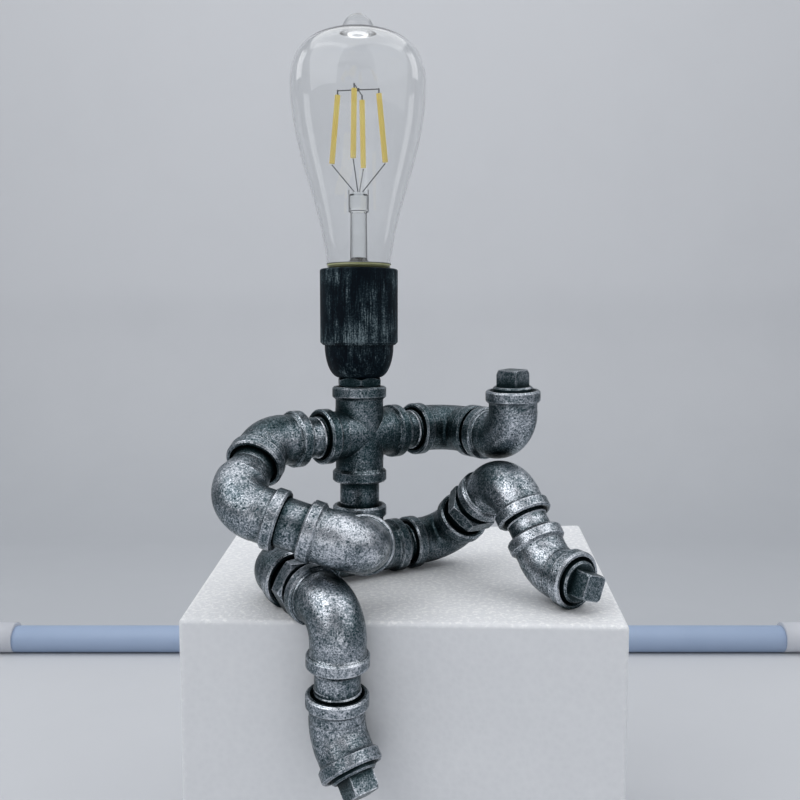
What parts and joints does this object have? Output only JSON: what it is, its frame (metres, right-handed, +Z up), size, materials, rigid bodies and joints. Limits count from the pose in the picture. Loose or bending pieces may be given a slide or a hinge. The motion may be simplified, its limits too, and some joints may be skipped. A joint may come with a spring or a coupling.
{
  "type": "desk lamp",
  "caption": "Desk lamp shaped as a seated figure built of screwed pipe fittings, with a clear filament bulb for its head.",
  "frame": {"origin": "on the seat surface, straight under the centre of the pelvis tee", "axes": "+Z up along the torso; the figure faces -Y; +X is the figure's left"},
  "size_m": [0.1666, 0.1489, 0.3594],
  "materials": {
    "cast_iron_fitting": "pitted casting, black with rubbed silver highlights",
    "iron_nipple": "smoother turned pipe, black with rubbed silver highlights",
    "iron_plug": "pitted casting, darker in the recesses",
    "holder_black": "satin black with fine vertical grey streaks",
    "brass_parts": "plain brass",
    "steel_parts": "plated steel",
    "porcelain": "glazed, off-white",
    "rubber_grommet": "matt black rubber",
    "wire_brown": "brown insulation",
    "wire_blue": "blue insulation",
    "cap_glass": "black vitrite insulation",
    "clear_glass": "clear blown glass",
    "stem_glass": "clear pressed glass",
    "led_filament": "yellow phosphor-coated sticks"
  },
  "bodies": {
    "pelvis": {"pelvis_tee": "cast_iron_fitting", "torso_nipple": "iron_nipple", "hip_nipple_left": "iron_nipple", "hip_nipple_right": "iron_nipple", "cable_grommet": "rubber_grommet"},
    "torso": {"body_cross": "cast_iron_fitting", "shoulder_nipple_left": "iron_nipple", "shoulder_nipple_right": "iron_nipple", "neck_bushing": "holder_black", "lamp_stud": "brass_parts", "stud_nut": "steel_parts", "holder_cup": "holder_black", "holder_skirt": "holder_black", "holder_insulator": "porcelain", "screw_shell": "brass_parts", "centre_contact": "brass_parts", "wire_live": "wire_brown", "wire_neutral": "wire_blue"},
    "bulb": {"bulb_cap": "steel_parts", "bulb_cap_glass": "cap_glass", "bulb_contact": "steel_parts", "bulb_glass": "clear_glass", "bulb_stem": "stem_glass", "bulb_supports": "steel_parts", "bulb_filaments": "led_filament"},
    "arm_right": {"shoulder_elbow_right": "cast_iron_fitting"},
    "forearm_right": {"street_elbow_right": "cast_iron_fitting", "forearm_barrel_right": "iron_nipple"},
    "hand_right": {"hand_elbow_right": "cast_iron_fitting", "hand_plug_right": "iron_plug"},
    "arm_left": {"shoulder_elbow_left": "cast_iron_fitting", "wrist_nipple_left": "iron_nipple"},
    "hand_left": {"hand_elbow_left": "cast_iron_fitting", "hand_plug_left": "iron_plug"},
    "thigh_left": {"hip_elbow_left": "cast_iron_fitting", "thigh_nipple_left": "iron_nipple"},
    "shin_left": {"knee_elbow_left": "cast_iron_fitting", "shin_nipple_left": "iron_nipple"},
    "foot_left": {"foot_elbow_left": "cast_iron_fitting", "foot_plug_left": "iron_plug"},
    "thigh_right": {"hip_elbow_right": "cast_iron_fitting", "thigh_nipple_right": "iron_nipple"},
    "shin_right": {"knee_elbow_right": "cast_iron_fitting", "shin_nipple_right": "iron_nipple"},
    "foot_right": {"foot_elbow_right": "cast_iron_fitting", "foot_plug_right": "iron_plug"}
  },
  "joints": [
    {"name": "waist", "type": "hinge", "parent": "pelvis", "child": "torso", "pos_m": [0, 0, 0.0387], "axis": [0, 0, 1], "range_deg": [-3, 20]},
    {"name": "bulb_turn", "type": "hinge", "parent": "torso", "child": "bulb", "pos_m": [0, 0, 0.1359], "axis": [0, 0, 1], "range_deg": [0, 180]},
    {"name": "shoulder_right", "type": "hinge", "parent": "torso", "child": "arm_right", "pos_m": [-0.02466, -0.00142, 0.0759], "axis": [-0.9983, -0.0576, 0], "range_deg": [0, 60]},
    {"name": "elbow_right", "type": "hinge", "parent": "arm_right", "child": "forearm_right", "pos_m": [-0.06576, -0.01275, 0.06664], "axis": [-0.6777, -0.5311, -0.5087], "range_deg": [0, 40]},
    {"name": "wrist_right", "type": "hinge", "parent": "forearm_right", "child": "hand_right", "pos_m": [-0.06606, -0.04279, 0.04552], "axis": [0.7172, -0.6302, -0.2975], "range_deg": [-4, 60]},
    {"name": "shoulder_left", "type": "hinge", "parent": "torso", "child": "arm_left", "pos_m": [0.02466, 0.00142, 0.0759], "axis": [0.9983, 0.0576, 0], "range_deg": [-60, 0]},
    {"name": "wrist_left", "type": "hinge", "parent": "arm_left", "child": "hand_left", "pos_m": [0.06124, -0.0215, 0.07503], "axis": [0.0575, -0.9977, -0.0349], "range_deg": [-60, 45]},
    {"name": "hip_left", "type": "hinge", "parent": "pelvis", "child": "thigh_left", "pos_m": [0.0247, 0, 0.014], "axis": [1, 0, 0], "range_deg": [0, 30]},
    {"name": "knee_left", "type": "hinge", "parent": "thigh_left", "child": "shin_left", "pos_m": [0.0545, -0.01943, 0.02973], "axis": [0, -0.7771, 0.6293], "range_deg": [-30, 30]},
    {"name": "ankle_left", "type": "hinge", "parent": "shin_left", "child": "foot_left", "pos_m": [0.0545, -0.06796, 0.03686], "axis": [0, -0.6293, -0.7771], "range_deg": [-45, 45]},
    {"name": "hip_right", "type": "hinge", "parent": "pelvis", "child": "thigh_right", "pos_m": [-0.0247, 0, 0.014], "axis": [-1, 0, 0], "range_deg": [-20, 0]},
    {"name": "knee_right", "type": "hinge", "parent": "thigh_right", "child": "shin_right", "pos_m": [-0.0516, -0.02494, 0.01226], "axis": [0, -0.9976, -0.0698], "range_deg": [-40, 40]},
    {"name": "ankle_right", "type": "hinge", "parent": "shin_right", "child": "foot_right", "pos_m": [-0.05116, -0.06529, -0.01562], "axis": [0.0175, 0.0697, -0.9974], "range_deg": [-45, 45]}
  ]
}
